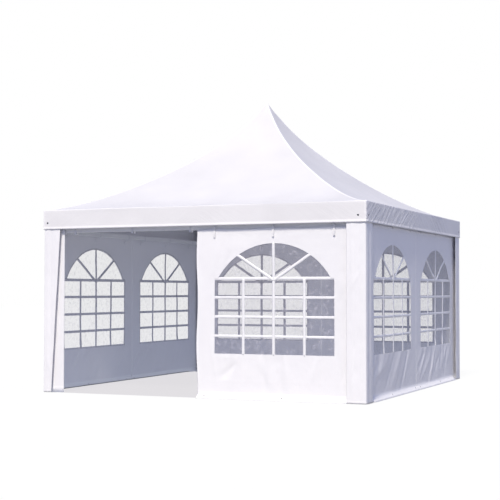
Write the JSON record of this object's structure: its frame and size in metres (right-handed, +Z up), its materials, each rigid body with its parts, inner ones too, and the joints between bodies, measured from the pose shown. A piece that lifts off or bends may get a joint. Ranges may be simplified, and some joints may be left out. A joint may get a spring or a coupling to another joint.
{
  "type": "pagoda marquee tent",
  "caption": "Square pagoda marquee with a concave peaked roof, valance, hung wall panels with arched windows and an open doorway.",
  "frame": {"origin": "centre of the square plan, on the ground under the foot plates", "axes": "-Y is the front with the open doorway, +X is right seen from the front, +Z is up"},
  "size_m": [4, 4, 3.5799],
  "materials": {
    "roof_fabric": "white coated fabric, satin",
    "wall_fabric": "white coated fabric, satin, lightly creased",
    "clear_film": "clear flexible film, slightly rippled",
    "coated_steel": "white powder coat, satin"
  },
  "bodies": {
    "root": {"front_roof_slope": "roof_fabric", "front_eave_beam": "coated_steel", "front_wall_rail": "coated_steel", "right_roof_slope": "roof_fabric", "right_eave_beam": "coated_steel", "right_wall_rail": "coated_steel", "back_roof_slope": "roof_fabric", "back_eave_beam": "coated_steel", "back_wall_rail": "coated_steel", "left_roof_slope": "roof_fabric", "left_eave_beam": "coated_steel", "left_wall_rail": "coated_steel", "roof_peak": "roof_fabric", "valance": "roof_fabric", "front_right_panel": "wall_fabric", "front_right_film": "clear_film", "right_front_panel": "wall_fabric", "right_front_film": "clear_film", "right_back_panel": "wall_fabric", "right_back_film": "clear_film", "back_right_panel": "wall_fabric", "back_right_film": "clear_film", "back_left_panel": "wall_fabric", "back_left_film": "clear_film", "left_back_panel": "wall_fabric", "left_back_film": "clear_film", "left_front_panel": "wall_fabric", "left_front_film": "clear_film", "front_left_post": "coated_steel", "front_left_connector": "coated_steel", "front_left_rafter": "coated_steel", "front_left_post_cover": "wall_fabric", "front_right_post": "coated_steel", "front_right_connector": "coated_steel", "front_right_rafter": "coated_steel", "front_right_post_cover": "wall_fabric", "back_right_post": "coated_steel", "back_right_connector": "coated_steel", "back_right_rafter": "coated_steel", "back_right_post_cover": "wall_fabric", "back_left_post": "coated_steel", "back_left_connector": "coated_steel", "back_left_rafter": "coated_steel", "back_left_post_cover": "wall_fabric", "king_mast": "coated_steel"}
  },
  "joints": []
}
